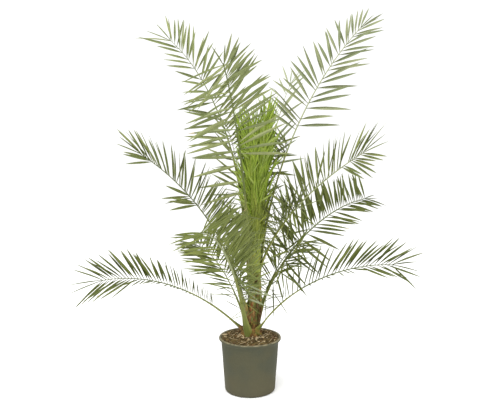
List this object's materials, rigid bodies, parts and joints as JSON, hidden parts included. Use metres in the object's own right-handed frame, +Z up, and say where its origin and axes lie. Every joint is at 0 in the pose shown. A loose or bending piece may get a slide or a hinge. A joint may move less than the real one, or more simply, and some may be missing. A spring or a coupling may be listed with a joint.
{
  "type": "potted canary island date palm",
  "caption": "Young Canary Island date palm in a round tapered nursery pot, with arching feather fronds round a leaning fibrous trunk and an upright tuft of bright young leaves.",
  "frame": {"origin": "centre of the pot's flat underside, where the plant stands on the floor", "axes": "+Z up along the pot's axis, -Y to the front of the picture, +X to its right"},
  "size_m": [1.5145, 1.3784, 1.7647],
  "materials": {
    "pot_plastic": "matt olive grey moulded plastic with a paler rim",
    "potting_soil": "moist dark brown potting soil with bark chips and pale fibres",
    "trunk_fibre": "brown leaf bases wrapped in rough fibre",
    "frond_green": "satin grey-green leaflets with a pale bloom",
    "young_green": "satin bright yellow-green young leaves"
  },
  "bodies": {
    "root": {"pot": "pot_plastic", "soil": "potting_soil", "trunk": "trunk_fibre", "spear_leaf": "young_green", "frond_front_upper_stalk": "frond_green", "frond_front_upper": "frond_green", "frond_top_right_stalk": "frond_green", "frond_top_right": "frond_green", "frond_top_left_stalk": "frond_green", "frond_top_left": "frond_green", "frond_front_left_stalk": "frond_green", "frond_front_left": "frond_green", "frond_left_middle_stalk": "frond_green", "frond_left_middle": "frond_green", "frond_left_low_stalk": "frond_green", "frond_left_low": "frond_green", "frond_right_upper_stalk": "frond_green", "frond_right_upper": "frond_green", "frond_right_middle_stalk": "frond_green", "frond_right_middle": "frond_green", "frond_right_low_stalk": "frond_green", "frond_right_low": "frond_green", "frond_back_upper_stalk": "frond_green", "frond_back_upper": "frond_green", "frond_back_middle_stalk": "frond_green", "frond_back_middle": "frond_green", "frond_back_left_low_stalk": "frond_green", "frond_back_left_low": "frond_green", "frond_back_right_low_stalk": "frond_green", "frond_back_right_low": "frond_green", "young_frond_1": "young_green", "young_frond_2": "young_green", "young_frond_3": "young_green", "young_frond_4": "young_green", "young_frond_5": "young_green"}
  },
  "joints": []
}
